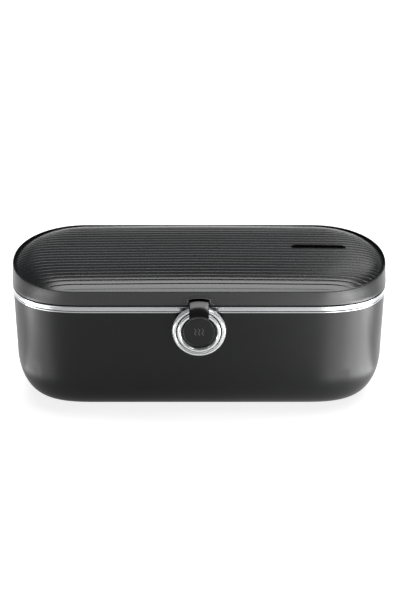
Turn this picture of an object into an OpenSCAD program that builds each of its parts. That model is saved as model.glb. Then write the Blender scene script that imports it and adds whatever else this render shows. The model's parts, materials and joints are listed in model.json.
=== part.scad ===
// Electric lunch box: a mains-heated food carrier with a ribbed lid that swings on two rear hinges.
// Origin on the floor under the middle of the box. +X to the right, +Y to the rear, +Z up, millimetres.

/* [Body] */
// Width over the two end walls
body_w = 236; // [215:1:270]
// Depth over the front and rear walls
body_d = 104; // [96:1:130]
// Height of the body shell, underside to top edge
shell_h = 71.1; // [68:0.1:90]
// Wall thickness of the body shell
shell_t = 2.4; // [1.8:0.1:2.8]
// Inward lean of the body walls for each millimetre downward
shell_lean = 0.015; // [0:0.005:0.03]
// Width of the rounded bottom edge
bottom_rx = 16; // [10:0.5:17]
// Height of the rounded bottom edge
bottom_rz = 28; // [18:0.5:30]
// Length of the curved part at each end of the body
end_len = 53; // [46:1:56]
// Squareness of the body corners, 2 is elliptical
end_square = 2.9; // [2.2:0.05:3.4]
// Height that the feet lift the shell
foot_lift = 1.3; // [0.8:0.1:3]
// Radius of a rubber foot
foot_r = 7; // [4:0.5:8]

/* [Base cover] */
// Thickness of the base cover
cover_t = 2; // [1.6:0.1:3]
// Distance from the body side to the edge of the base cover
cover_in = 20; // [18:0.5:22]
// Width of the shell ledge that the cover is screwed to
cover_ledge = 8; // [7.5:0.5:10]
// Thickness of that ledge
ledge_t = 2.4; // [1.6:0.1:3]
// Thread radius of the cover screws
screw_r = 1.5; // [1:0.1:1.8]
// Height of the screw bosses above the ledge
boss_h = 6; // [3:0.5:8]

/* [Trim band] */
// Height of the bright band
trim_h = 3.2; // [2.4:0.1:5]
// Wall thickness of the band
trim_t = 2.4; // [1.6:0.1:3]
// Height of the shadow groove under the band
trim_gap = 0.5; // [0.3:0.05:1]
// Thickness of the inner ledge that carries the heated liner
trim_ledge_t = 1.2; // [0.8:0.1:1.4]
// Depth of the spigot that plugs into the shell
spigot_h = 3.4; // [2:0.2:4]

/* [Lid] */
// Height of the lid wall
lid_h = 9.4; // [8.8:0.1:14]
// Parting gap between the band and the lid
part_gap = 0.6; // [0.4:0.05:0.9]
// Wall thickness of the lid frame
lid_t = 2.2; // [1.8:0.1:2.4]
// Width of the thin rim round the top panel
rim_w = 1.5; // [1.4:0.1:2.2]
// Length of the curved part at each end of the rim
rim_len = 43.5; // [38:0.5:50]
// Squareness of the rim corners, 2 is elliptical
rim_square = 2.1; // [2:0.05:2.8]
// Height of the dome of the top panel above its own edge
dome_h = 5.3; // [3:0.1:7]
// Depth of the panel edge below the rim, in the middle of the front
panel_drop = 0.3; // [0.1:0.1:1]
// Fall of the top panel from its middle to each end
crown = 1.7; // [0:0.1:2.2]
// Gap between the rim and the top panel
panel_gap = 1.1; // [0.6:0.1:1.4]
// Distance from one rib to the next
rib_pitch = 4.05; // [3.5:0.05:6]
// Depth of the valleys between ribs
rib_h = 0.5; // [0.2:0.05:0.9]
// Length of the steam vent
vent_l = 35; // [24:1:44]
// Width of the steam vent
vent_w = 5.2; // [4.4:0.1:8]
// Distance of the steam vent from the middle of the lid
vent_x = 76; // [66:1:80]
// Distance of the steam vent behind the middle of the lid
vent_y = 6; // [0:1:14]

/* [Latch and button] */
// Drop from the trim band to the middle of the ring
latch_drop = 12; // [11.8:0.1:14]
// Outer radius of the bright ring
ring_r = 16.5; // [15.5:0.1:17]
// Inner radius of the bright ring
ring_bore_r = 10.9; // [10.4:0.1:11.4]
// Distance that the ring stands out from the front
ring_out = 6; // [5:0.1:7]
// Radius of the push button
button_r = 9.75; // [8:0.05:9.8]
// Distance that the button face stands out from the front
button_out = 4.3; // [3.8:0.1:5]
// Travel of the push button
button_travel = 1.5; // [0.8:0.1:1.6]
// Width of the clasp tab
tab_w = 12; // [9:0.5:13]
// Thickness of the clasp tab
tab_t = 1.8; // [1.4:0.1:2.2]

/* [Hinge] */
// Radius of the hinge knuckles
knuckle_r = 3.4; // [3:0.1:3.8]
// Radius of the hinge pins
hinge_pin_r = 1.5; // [1.2:0.05:1.8]
// Distance of each hinge from the middle
hinge_x = 45; // [32:1:48]
// Length of the lid knuckle
knuckle_l = 12; // [8:0.5:14]
// Length of each body knuckle
cheek_l = 5; // [4:0.5:6]

/* [Heated liner and food container] */
// Distance from the body side to the wall of the heated liner
liner_in = 11.4; // [11:0.1:13]
// Sheet thickness of the heated liner
liner_t = 1; // [0.8:0.1:1.2]
// Height of the liner floor above the floor
liner_z = 30; // [28:0.5:34]
// Sheet thickness of the food container
container_t = 0.8; // [0.6:0.1:1]
// Radius of the bottom edges of liner and container
pan_r = 8; // [6:0.5:10]

/* [Fits] */
// Clearance between parts that seat on each other
seat = 0.1; // [0.05:0.01:0.15]
// Side clearance between parts that fit inside each other
fit = 0.2; // [0.15:0.01:0.3]
// Radial clearance of a running fit
run = 0.05; // [0.03:0.01:0.08]

/* [Hidden] */

// Smoothness of round parts, and points along each end curve of the plan outline
$fn = 48;
outline_steps = 32;

// Heights, from the floor up
shell_z = foot_lift;
shell_top = shell_z + shell_h;
trim_z = shell_top + trim_gap;
trim_top = trim_z + trim_h;
lid_z = trim_top + part_gap;
rim_z = lid_z + lid_h;
inner_floor_z = shell_z + cover_t + ledge_t;
liner_flange_z = trim_z + trim_ledge_t;
liner_top = liner_flange_z + liner_t;

// Insets from the widest outline of the body
shell_in = 0.4;
opening_in = cover_in + cover_ledge;
spigot_in = shell_in + shell_t + fit;
spigot_t = 1.4;
shoulder_in = 1.2;
flange_in = trim_t + 0.8;
trim_ledge_in = liner_in - 2.4;
liner_lean = 0.02;

// Food container, hung in the liner by its flange
container_flange_in = flange_in + 1.6;
container_in = liner_in + liner_t + 0.9;
container_z = liner_z + liner_t + fit;
container_top = liner_top + seat + container_t;

// Lid stack, from the gasket up
gasket_in = trim_ledge_in - 3.6;
gasket_w = 3.2;
gasket_groove = 0.6;
gasket_z = container_top + fit;
skirt_wall = 0.5;
skirt_z = trim_top + 1.1;
lid_plate_t = 1.6;
panel_ledge_t = 1.5;
panel_z = rim_z - 3.6;
panel_ledge_z = panel_z - panel_ledge_t;
lid_plate_z = panel_ledge_z - 0.4 - lid_plate_t;
lid_inner_in = lid_t + 0.3;
panel_in = rim_w + panel_gap;
panel_ledge_in = panel_in + 3;
panel_pocket_z = panel_z + 2.2;
panel_pocket_in = panel_in + 5;
panel_edge_z = rim_z - panel_drop;
dome_power = 6.8;
crown_power = 1.9;
lid_plate_top = lid_plate_z + lid_plate_t;
lid_screw_x = 97;
lid_side_screw_x = 40;
lid_side_screw_y = 36;
lid_screw_tip = 1.5;
lid_boss_r = 3;
vent_flange_t = 1.2;
vent_flange_w = 1.5;
vent_wall = 0.9;
vent_recess = 1.6;
vent_sink = 0.3;
vent_hole_r = 1;
steam_r = 4;
steam_flange_t = 0.7;

// Latch and button, measured outward from the front plane
latch_z = trim_z - latch_drop;
housing_back = -shell_in + 0.05;
housing_foot_r = latch_drop - trim_gap - 0.1;
housing_flange_r = 13.4;
housing_step = 0.25;
housing_face = 1.2;
guide_r = 4.6;
guide_l = 7;
stem_r = 2.5;
stem_end = -4.6;
nut_r = 8;
nut_t = 1.6;
nut_face = -(wall_in(latch_z - nut_r) + shell_t + 0.2);
button_t = 1.8;
button_back = button_out - button_t;
button_edge = 0.35;
housing_cup = button_back - button_travel - fit;
switch_r = 4.2;
switch_t = 2.5;
switch_cap_wall = 1.5;
switch_cap_back = 0.8;
switch_cap_l = 5.4;
plunger_r = 1.4;
plunger_l = 3.4;
roll_w = 1.1;
roll_h = 1.8;
ring_back = 1.9;
tab_clear = 0.5;
tab_under_r = ring_r + tab_clear;
tab_top_r = tab_under_r + 2;
tab_tip_r = ring_bore_r + 1.1;
tab_in = ring_out + tab_clear;
tab_out = tab_in + tab_t;
tab_bend_r = 2.4;
clasp_pin_r = 0.9;
clasp_hub_r = 1.55;
clasp_pin_up = tab_under_r + 0.9;
clasp_pin_out = -1;
pocket_r = tab_top_r + 2.1;
pocket_w = tab_w + 4 * fit;
pocket_depth = 2.8;
clasp_block_w = tab_w + 8;
clasp_block_r = pocket_r + 1.6;
clasp_block_depth = pocket_depth + 0.8;
clasp_block_face = -0.1;
clasp_pin_l = tab_w + 6;

// Hinge axis. The knuckles reach as far back as the clasp tab reaches forward.
hinge_y = body_d / 2 + tab_out - knuckle_r;
hinge_z = (trim_top + lid_z) / 2;
knuckle_gap = 0.3;
bracket_w = knuckle_l + 2 * (knuckle_gap + cheek_l);
hinge_plate_t = 2;
bracket_low = 15;
bracket_screw_x = 3.4;
bracket_screw_drop = 11.5;
arm_low = 4;
arm_high = 7.4;
small_head_r = 2.2;
small_head_t = 0.9;
small_shank_r = 1;
bracket_screw_l = 6;
arm_screw_l = hinge_plate_t + lid_t + 0.3;
arm_wing = 6;

// Electrics under the liner
heater_t = 2;
heater_w = 54;
ptc_l = 28;
ptc_w = 14;
ptc_t = 3;
ptc_pitch = ptc_l + 4;
ptc_end = ptc_pitch + ptc_l / 2;
heater_z = liner_z - seat - heater_t;
ptc_z = heater_z - ptc_t;
clamp_t = 1.2;
clamp_w = 9;
clamp_foot = 8;
clamp_clear = 2.6;
clamp_l = 2 * (ptc_end + clamp_clear + 2 * clamp_t + clamp_foot);
heater_l = clamp_l + 12;
board_l = 64;
board_w = 42;
board_t = 1.6;
board_end = 24;
board_x = -(body_w / 2 - cover_in - board_end - board_l / 2);
standoff_h = 5;
standoff_r = 2.6;
cover_top = shell_z + cover_t;
board_z = cover_top + standoff_h;
board_top = board_z + board_t;
foot_end = 11;
foot_side = 6;
foot_x = body_w / 2 - cover_in - foot_end - foot_r;
foot_y = body_d / 2 - cover_in - foot_side - foot_r;
foot_recess = 0.8;
cover_screw_end = 46;
cover_screw_x = body_w / 2 - cover_in - cover_screw_end;
cover_screw_y = body_d / 2 - cover_in - cover_ledge / 2;
cover_head_r = 3;
cover_head_t = 1.1;

// Mains inlet, on the rear wall
inlet_x = 50;
inlet_z = 42;
inlet_lobe_r = 3.6;
inlet_lobe_x = 4.3;
inlet_wall = 1.4;
inlet_depth = 9;
inlet_recess = 7.6;
inlet_flange_t = 1.2;
inlet_flange_r = 7;
inlet_pin_r = 1.2;
inlet_seat = 0.05 - wall_in(inlet_z + inlet_flange_r);

// ---------------------------------------------------------------- plan outlines and lofts

// One point of an end curve: u runs from -90 at the front to 90 at the rear
function end_point(w, d, a, n, u) = [
    w / 2 - a + a * pow(max(0, cos(u)), 2 / n),
    d / 2 * sign(u) * pow(abs(sin(u)), 2 / n)
];

// Closed outline with straight front and rear sides and superelliptic ends
function outline(w, d, a, n) = [
    for (side = [1, -1], i = [0 : outline_steps])
        side * end_point(w, d, a, n, -90 + 180 * i / outline_steps)
];

// The body outline, set in by the distance o
function body_outline(o) = outline(body_w - 2 * o, body_d - 2 * o, end_len - o, end_square);

// The lid outline at height z, which changes from the body's corners to the rounder rim
function lid_outline(o, z) = let (
    t = min(1, max(0, (z - lid_z) / lid_h)),
    low = body_outline(o),
    high = outline(body_w - 2 * o, body_d - 2 * o, rim_len - o, rim_square)
) [for (i = [0 : len(low) - 1]) low[i] * (1 - t) + high[i] * t];

// An outline lifted to a height
function at_height(points, z) = [for (p = points) [p[0], p[1], z]];
function body_ring(o, z) = at_height(body_outline(o), z);
function lid_ring(o, z) = at_height(lid_outline(o, z), z);

// Solid through a stack of rings. A closed stack joins its last ring to its first.
module loft(rings, closed = false) {
    n = len(rings[0]);
    m = len(rings);
    last = closed ? m - 1 : m - 2;
    walls = [
        for (j = [0 : last], i = [0 : n - 1], half = [0, 1])
            let (k = (i + 1) % n, a = j * n, b = (j + 1) % m * n)
            half == 0 ? [a + i, b + i, b + k] : [a + i, b + k, a + k]
    ];
    first_cap = [for (i = [0 : n - 1]) i];
    last_cap = [for (i = [n - 1 : -1 : 0]) (m - 1) * n + i];
    faces = closed ? walls : concat(walls, [first_cap, last_cap]);
    polyhedron(points = [for (ring = rings) each ring], faces = faces, convexity = 10);
}

// Flat plate or band between two insets of the body outline
module body_plate(o, z, h) {
    translate([0, 0, z]) linear_extrude(h) polygon(body_outline(o));
}

module body_band(o_out, o_in, z, h) {
    translate([0, 0, z]) linear_extrude(h) difference() {
        polygon(body_outline(o_out));
        polygon(body_outline(o_in));
    }
}

// Frames of reference on the front, the rear and the hinge axis
module on_front(x = 0, z = latch_z) {
    translate([x, -body_d / 2, z]) rotate([90, 0, 0]) children();
}

module on_rear(x, z, out = 0) {
    translate([x, body_d / 2 + out, z]) rotate([-90, 0, 0]) children();
}

module each_hinge() {
    for (side = [-1, 1]) translate([side * hinge_x, 0, 0]) children();
}

// A cylinder along X, centred
module cylinder_x(r, l) {
    rotate([0, 90, 0]) cylinder(r = r, h = l, center = true);
}

// A profile in the Y and Z directions, given width along X, centred
module side_profile(w) {
    rotate([90, 0, 90]) translate([0, 0, -w / 2]) linear_extrude(w) children();
}

module slab(l, w, h, r) {
    linear_extrude(h) {
        square([l - 2 * r, w], center = true);
        square([l, w - 2 * r], center = true);
        for (sx = [-1, 1], sy = [-1, 1])
            translate([sx * (l / 2 - r), sy * (w / 2 - r)]) circle(r);
    }
}

// Long hole or bar with round ends, along X
module stadium(l, w, h) {
    linear_extrude(h) {
        square([l - w, w], center = true);
        for (side = [-1, 1]) translate([side * (l - w) / 2, 0]) circle(w / 2);
    }
}

// ---------------------------------------------------------------- body

function wall_in(z) = shell_in + shell_lean * (shell_top - z);

// Rings of the rounded bottom edge, inside or outside; t is the wall and floor_z its lowest height
function bottom_edge(t, floor_z, steps) = [
    for (i = [0 : steps])
        let (a = 90 * i / steps, top = shell_z + bottom_rz)
        body_ring(
            wall_in(top) + t + (bottom_rx - t) * (1 - sin(a)),
            floor_z + (top - floor_z) * (1 - cos(a))
        )
];

function reversed(list) = [for (i = [len(list) - 1 : -1 : 0]) list[i]];

module cover_screw_places() {
    for (sx = [-1, 1], sy = [-1, 1])
        translate([sx * cover_screw_x, sy * cover_screw_y, 0]) children();
}

module foot_places() {
    for (sx = [-1, 1], sy = [-1, 1]) translate([sx * foot_x, sy * foot_y, 0]) children();
}

module bracket_screw_places() {
    for (side = [-1, 1], sx = [-1, 1])
        on_rear(side * hinge_x + sx * bracket_screw_x, hinge_z - bracket_screw_drop) children();
}

module body_shell() {
    rings = concat(
        [
            body_ring(opening_in, shell_z + cover_t),
            body_ring(cover_in - fit, shell_z + cover_t),
            body_ring(cover_in - fit, shell_z)
        ],
        bottom_edge(0, shell_z, 8),
        [
            body_ring(wall_in(shell_top), shell_top),
            body_ring(wall_in(shell_top) + shell_t, shell_top)
        ],
        reversed(bottom_edge(shell_t, inner_floor_z, 5)),
        [body_ring(opening_in, inner_floor_z)]
    );
    color("#1d1e20") difference() {
        union() {
            loft(rings, closed = true);
            cover_screw_places() translate([0, 0, inner_floor_z - 0.4])
                cylinder(r = cover_ledge / 2 - 0.4, h = boss_h);
        }
        cover_screw_places() cylinder(r = screw_r + run, h = inner_floor_z + boss_h + 1);
        on_front() translate([0, 0, -shell_t - 4]) cylinder(r = guide_r + 2 * run, h = shell_t + 6);
        on_rear(inlet_x, inlet_z, inlet_seat) translate([0, 0, -inlet_depth - 2])
            inlet_outline(inlet_wall + 2 * run, inlet_depth + 4);
        bracket_screw_places() translate([0, 0, -8]) cylinder(r = small_shank_r + run, h = 12);
    }
}

module trim_band() {
    color("#d9dadb") {
        body_band(0, trim_t, trim_z, trim_h);
        body_band(shoulder_in, trim_ledge_in, trim_z, trim_ledge_t - seat);
        body_band(shoulder_in, spigot_in + spigot_t, shell_top + seat / 4, trim_gap);
        body_band(spigot_in, spigot_in + spigot_t, trim_z - spigot_h, spigot_h);
    }
}

module base_cover() {
    color("#17181a") difference() {
        union() {
            body_plate(cover_in, shell_z + seat / 2, cover_t - seat);
            board_screw_places() translate([0, 0, cover_top - seat])
                cylinder(r = standoff_r, h = standoff_h);
        }
        cover_screw_places() {
            translate([0, 0, shell_z - 1]) cylinder(r = screw_r + fit, h = cover_t + 2);
            translate([0, 0, shell_z - 1]) cylinder(r = cover_head_r + fit, h = 1 + cover_head_t);
        }
        foot_places() translate([0, 0, shell_z - 1]) cylinder(r = foot_r + run, h = 1 + foot_recess);
        board_screw_places() translate([0, 0, cover_top])
            cylinder(r = small_shank_r + run, h = standoff_h + 1);
    }
}

module base_screws() {
    color("silver") cover_screw_places() translate([0, 0, shell_z + cover_head_t - seat]) {
        translate([0, 0, -cover_head_t + 2 * seat]) cylinder(r = cover_head_r, h = cover_head_t - 2 * seat);
        cylinder(r = screw_r, h = cover_t + ledge_t + boss_h - 3);
    }
}

module rubber_feet() {
    color("#101010") foot_places() {
        cylinder(r1 = foot_r - 0.6, r2 = foot_r, h = 0.6);
        translate([0, 0, 0.6]) cylinder(r = foot_r, h = foot_lift + foot_recess - 0.6 - run);
    }
}

// ---------------------------------------------------------------- heated liner and its electrics

// Rounded pan edge from a floor at z up to a wall that leans outward to the height top
function pan_edge(o_top, r, z, top, steps) = [
    for (i = [0 : steps])
        let (a = 90 * i / steps, o = o_top + liner_lean * (top - z - r))
        body_ring(o + r * (1 - sin(a)), z + r * (1 - cos(a)))
];

// Open pan of sheet t with a flat flange from flange_o inward, its flange underside at top
module pan(o_top, t, r, z, top, flange_o) {
    loft(concat(
        pan_edge(o_top, r, z, top, 4),
        [
            body_ring(o_top, top),
            body_ring(flange_o, top),
            body_ring(flange_o, top + t),
            body_ring(o_top + t, top + t)
        ],
        reversed(pan_edge(o_top + t, r - t, z + t, top, 4))
    ));
}

module heated_liner() {
    color("#b9bcbe") pan(liner_in, liner_t, pan_r, liner_z, liner_flange_z, flange_in);
}

module heating_plate() {
    color("#c4c7c9") difference() {
        translate([0, 0, heater_z]) slab(heater_l, heater_w, heater_t, 6);
        clamp_screw_places() translate([0, 0, heater_z - 1])
            cylinder(r = small_shank_r + run, h = heater_t + 2);
    }
}

module ptc_heaters() {
    color("#8d6b4a") for (i = [-1, 0, 1])
        translate([i * ptc_pitch, 0, ptc_z + seat / 2]) slab(ptc_l, ptc_w, ptc_t - seat, 1);
}

module clamp_screw_places() {
    for (side = [-1, 1]) translate([side * (clamp_l - clamp_foot) / 2, 0, 0]) children();
}

// Spring strip that presses the heaters against the plate, with a foot at each end
module heater_clamp() {
    low = ptc_z - clamp_t;
    inner = clamp_l / 2 - clamp_foot;
    strip = [
        [-clamp_l / 2, heater_z - clamp_t], [-inner + clamp_t, heater_z - clamp_t],
        [-inner + clamp_t, low], [inner - clamp_t, low],
        [inner - clamp_t, heater_z - clamp_t], [clamp_l / 2, heater_z - clamp_t],
        [clamp_l / 2, heater_z], [inner - 2 * clamp_t, heater_z],
        [inner - 2 * clamp_t, low + clamp_t], [-inner + 2 * clamp_t, low + clamp_t],
        [-inner + 2 * clamp_t, heater_z], [-clamp_l / 2, heater_z]
    ];
    color("#9a9da0") difference() {
        rotate([90, 0, 0]) translate([0, 0, -clamp_w / 2]) linear_extrude(clamp_w)
            translate([0, -seat / 2]) polygon(strip);
        clamp_screw_places() translate([0, 0, heater_z - clamp_t - 1])
            cylinder(r = small_shank_r + fit, h = clamp_t + 2);
    }
}

// Pan-head screw: its head ends at z = 0 and its shank runs up from there
module small_screw(l, head_t = small_head_t, r = small_shank_r, head_r = small_head_r) {
    translate([0, 0, -head_t]) cylinder(r = head_r, h = head_t);
    cylinder(r = r, h = l);
}

module clamp_screws() {
    color("silver") clamp_screw_places() translate([0, 0, heater_z - clamp_t - seat])
        small_screw(clamp_t + heater_t);
}

thermostat_r = 8;
thermostat_h = 9;
thermostat_x = heater_l / 2 + thermostat_r + 6;
module thermostat() {
    color("#3a3330") translate([thermostat_x, 0, liner_z - seat - thermostat_h]) {
        cylinder(r = thermostat_r, h = thermostat_h);
        for (side = [-1, 1]) translate([side * 4.5 - 0.4, -2.4, -7]) cube([0.8, 4.8, 7.2]);
    }
}

fuse_r = 2.2;
fuse_l = 16;
fuse_y = 18;
module thermal_fuse() {
    color("#d8d3c4") translate([0, fuse_y, heater_z - fuse_r - seat]) {
        cylinder_x(fuse_r, fuse_l);
        cylinder_x(0.5, fuse_l + 12);
    }
}

module board_screw_places() {
    for (sx = [-1, 1], sy = [-1, 1])
        translate([board_x + sx * (board_l / 2 - 5), sy * (board_w / 2 - 5), 0]) children();
}

module control_board() {
    color("#1c5a34") difference() {
        translate([board_x, 0, board_z]) slab(board_l, board_w, board_t, 2);
        board_screw_places() translate([0, 0, board_z - 1])
            cylinder(r = small_shank_r + fit, h = board_t + 2);
    }
}

module board_screws() {
    color("silver") board_screw_places() translate([0, 0, board_top + seat / 2])
        rotate([180, 0, 0]) small_screw(board_t + standoff_h - 1);
}

capacitor_x = board_x + 2;
capacitor_y = 7.5;
capacitor_r = 4;
capacitor_h = 10;
module capacitors() {
    color("#2d2d33") for (side = [-1, 1])
        translate([capacitor_x, side * capacitor_y, board_top + seat / 2])
            cylinder(r = capacitor_r, h = capacitor_h);
}

relay_size = [15, 16, 10];
relay_x = capacitor_x - capacitor_r - 5 - relay_size[0] / 2;
module relay() {
    color("#23456b") translate([relay_x, 0, board_top + seat / 2 + relay_size[2] / 2])
        cube(relay_size, center = true);
}

terminal_l = 9;
terminal_x = capacitor_x + capacitor_r + 8 + terminal_l / 2;
terminal_h = 9;
terminal_pitch = 5.6;
terminal_hole_r = 1.6;
module terminal_block() {
    color("#2f7d4f") translate([terminal_x, 0, board_top + seat / 2]) difference() {
        translate([-terminal_l / 2, -2.15 * terminal_pitch, 0])
            cube([terminal_l, 4.3 * terminal_pitch, terminal_h]);
        for (i = [-1.5 : 1.5]) translate([0, i * terminal_pitch, terminal_h / 2])
            cylinder(r = terminal_hole_r, h = terminal_h);
    }
}

// Two-lobed outline of the mains socket, grown by an offset g
module inlet_outline(g, h) {
    linear_extrude(h) {
        for (side = [-1, 1]) translate([side * inlet_lobe_x, 0]) circle(inlet_lobe_r + g);
        square([2 * inlet_lobe_x, 2 * (inlet_lobe_r + g)], center = true);
    }
}

module power_inlet() {
    color("#111214") on_rear(inlet_x, inlet_z, inlet_seat) difference() {
        union() {
            translate([0, 0, -inlet_depth]) inlet_outline(inlet_wall, inlet_depth);
            stadium(2 * (inlet_lobe_x + inlet_flange_r), 2 * inlet_flange_r, inlet_flange_t);
        }
        translate([0, 0, inlet_flange_t - inlet_recess]) inlet_outline(0, inlet_recess + 1);
        for (side = [-1, 1]) translate([side * inlet_lobe_x, 0, -inlet_depth - 1])
            cylinder(r = inlet_pin_r + run, h = inlet_depth);
    }
}

module inlet_pins() {
    color("#c9b26a") on_rear(inlet_x, inlet_z, inlet_seat) for (side = [-1, 1])
        translate([side * inlet_lobe_x, 0, -inlet_depth - 1]) cylinder(r = inlet_pin_r, h = inlet_depth);
}

// ---------------------------------------------------------------- ring, button and switch

module button_housing() {
    color("#0e0e0f") on_front() difference() {
        union() {
            translate([0, 0, housing_back]) cylinder(r = housing_foot_r, h = housing_face - housing_back);
            translate([0, 0, housing_step]) cylinder(r = housing_flange_r, h = housing_face - housing_step);
            cylinder(r = ring_bore_r - run, h = button_back + 0.6);
            translate([0, 0, -guide_l]) cylinder(r = guide_r, h = guide_l + 0.5);
        }
        translate([0, 0, housing_cup]) cylinder(r = button_r + fit, h = button_out);
        translate([0, 0, -guide_l - 1]) cylinder(r = stem_r + run, h = guide_l + 4);
    }
}

module housing_nut() {
    color("#2a2b2d") on_front() translate([0, 0, nut_face - nut_t]) difference() {
        cylinder(r = nut_r, h = nut_t, $fn = 6);
        translate([0, 0, -1]) cylinder(r = guide_r + run, h = nut_t + 2);
    }
}

// Section of the bright ring: a narrow inner roll, a fine valley and a broad outer roll
module bezel_ring() {
    inner_mid = ring_bore_r + roll_w;
    outer_mid = inner_mid + 2;
    outer_w = ring_r - outer_mid;
    outer_h = ring_out - 0.5 - ring_back - 0.8;
    inner_roll = [
        for (a = [180 : -15 : 30])
            [inner_mid + roll_w * cos(a), ring_out - roll_h + roll_h * sin(a)]
    ];
    outer_roll = [
        for (a = [115 : -11.5 : 0])
            [outer_mid + outer_w * cos(a), ring_back + 0.8 + outer_h * sin(a)]
    ];
    underside = [
        for (a = [-30 : -30 : -90]) [ring_r - 0.8 + 0.8 * cos(a), ring_back + 0.8 + 0.8 * sin(a)]
    ];
    foot = [
        [housing_flange_r, ring_back], [housing_flange_r, housing_face], [ring_bore_r, housing_face]
    ];
    color("#e4e5e6") on_front() rotate_extrude()
        polygon(concat(inner_roll, outer_roll, underside, foot));
}

module power_switch() {
    color("#6d7176") on_front() translate([0, 0, -guide_l - seat - switch_t]) difference() {
        cylinder(r = switch_r, h = switch_t);
        translate([0, 0, -1]) cylinder(r = plunger_r + run, h = switch_t + 2);
    }
}

module switch_cap() {
    bottom = -guide_l - seat - switch_t - seat - switch_cap_back;
    color("#d6d0bf") on_front() translate([0, 0, bottom]) difference() {
        cylinder(r = guide_r + run + switch_cap_wall, h = switch_cap_l);
        translate([0, 0, switch_cap_back]) cylinder(r = guide_r + run, h = switch_cap_l);
    }
}

// ---------------------------------------------------------------- hinges

module hinge_brackets() {
    wall_y = body_d / 2 - shell_in + seat;
    band_y = body_d / 2 + fit;
    low = hinge_z - bracket_low;
    high = shell_top - fit;
    cheek = [
        [wall_y, high], [wall_y, low], [wall_y + hinge_plate_t, low],
        [hinge_y + 0.7 * knuckle_r, hinge_z - 0.7 * knuckle_r], [hinge_y, hinge_z],
        [band_y, hinge_z], [band_y, high]
    ];
    color("#1a1b1d") each_hinge() difference() {
        union() {
            for (side = [-1, 1])
                translate([side * (bracket_w - cheek_l) / 2, 0, 0]) side_profile(cheek_l) {
                    polygon(cheek);
                    translate([hinge_y, hinge_z]) circle(knuckle_r);
                }
            translate([-bracket_w / 2, wall_y, low]) cube([bracket_w, hinge_plate_t, high - 1 - low]);
        }
        translate([0, hinge_y, hinge_z]) cylinder_x(hinge_pin_r + run, bracket_w + 2);
        for (sx = [-1, 1])
            translate([sx * bracket_screw_x, wall_y - 1, hinge_z - bracket_screw_drop])
                rotate([-90, 0, 0]) cylinder(r = small_shank_r + run, h = hinge_plate_t + 2);
    }
}

module hinge_pins() {
    color("silver") each_hinge() translate([0, hinge_y, hinge_z]) cylinder_x(hinge_pin_r, bracket_w - 0.4);
}

module bracket_screws() {
    color("silver") bracket_screw_places()
        translate([0, 0, hinge_plate_t - shell_in + 2 * seat]) rotate([180, 0, 0])
            small_screw(bracket_screw_l);
}

module arm_screw_places() {
    for (side = [-1, 1], sx = [-1, 1])
        on_rear(side * hinge_x + sx * (knuckle_l + arm_wing) / 2, hinge_z + (arm_low + arm_high) / 2)
            children();
}

module hinge_arms() {
    arm_w = knuckle_l + 2 * arm_wing;
    wall_y = body_d / 2 + seat;
    neck = [
        [wall_y, hinge_z + 1], [hinge_y, hinge_z], [hinge_y + 0.7 * knuckle_r, hinge_z + 0.7 * knuckle_r],
        [wall_y + hinge_plate_t, hinge_z + arm_high], [wall_y, hinge_z + arm_high]
    ];
    color("#1a1b1d") difference() {
        each_hinge() difference() {
            union() {
                side_profile(knuckle_l) {
                    polygon(neck);
                    translate([hinge_y, hinge_z]) circle(knuckle_r);
                }
                translate([-arm_w / 2, wall_y, hinge_z + arm_low])
                    cube([arm_w, hinge_plate_t, arm_high - arm_low]);
            }
            translate([0, hinge_y, hinge_z]) cylinder_x(hinge_pin_r + run, knuckle_l + 2);
        }
        arm_screw_places() translate([0, 0, -1]) cylinder(r = small_shank_r + run, h = hinge_plate_t + 4);
    }
}

module arm_screws() {
    color("silver") arm_screw_places() translate([0, 0, hinge_plate_t + 2 * seat]) rotate([180, 0, 0])
        small_screw(arm_screw_l, head_r = (arm_high - arm_low) / 2);
}

// ---------------------------------------------------------------- food container

module food_container() {
    color("#c9cccd") pan(container_in, container_t, pan_r - liner_t, container_z,
        liner_top + seat, container_flange_in);
}

// ---------------------------------------------------------------- lid

// Arched outline of the clasp pocket on the front plane, grown by g
module clasp_arch(w, r, g) {
    intersection() {
        circle(r + g);
        translate([-w / 2 - g, lid_z - latch_z - 1]) square([w + 2 * g, ring_r + 12]);
    }
}

// Space cut for the clasp housing, with a clearance g round it
module clasp_recess(g) {
    on_front() translate([0, 0, -clasp_block_depth - g]) linear_extrude(clasp_block_depth + 2)
        clasp_arch(clasp_block_w, clasp_block_r, g);
}

module lid_frame() {
    edge_o = 0.9;
    edge_z = 1.5;
    rim_break = 0.3;
    rings = concat(
        [lid_ring(0, lid_z)],
        [for (a = [0 : 18 : 90]) lid_ring(edge_o * (1 - cos(a)), rim_z - edge_z * (1 - sin(a)))],
        [
            lid_ring(rim_w - rim_break, rim_z),
            lid_ring(rim_w, rim_z - rim_break),
            lid_ring(rim_w, panel_z),
            lid_ring(panel_ledge_in, panel_z),
            lid_ring(panel_ledge_in, panel_ledge_z),
            lid_ring(lid_t, panel_ledge_z),
            lid_ring(lid_t, lid_z)
        ]
    );
    color("#232427") difference() {
        loft(rings, closed = true);
        clasp_recess(seat);
        arm_screw_places() translate([0, 0, -5]) cylinder(r = small_shank_r + run, h = 8);
    }
}

// Half-sizes of the top panel's outline
panel_hw = body_w / 2 - panel_in;
panel_hd = body_d / 2 - panel_in;
panel_ha = rim_len - panel_in;

// Half-width of the panel at a distance y from its long axis
function panel_end(y) = panel_hw - panel_ha
    + panel_ha * pow(max(0, 1 - pow(abs(y) / panel_hd, rim_square)), 1 / rim_square);

// 0 along the spine of the panel and 1 on its outline
function panel_rho(x, y) = let (
    along = max(0, abs(x) - panel_hw + panel_ha) / panel_ha,
    across = abs(y) / panel_hd
) min(1, pow(pow(along, rim_square) + pow(across, rim_square), 1 / rim_square));

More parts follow.
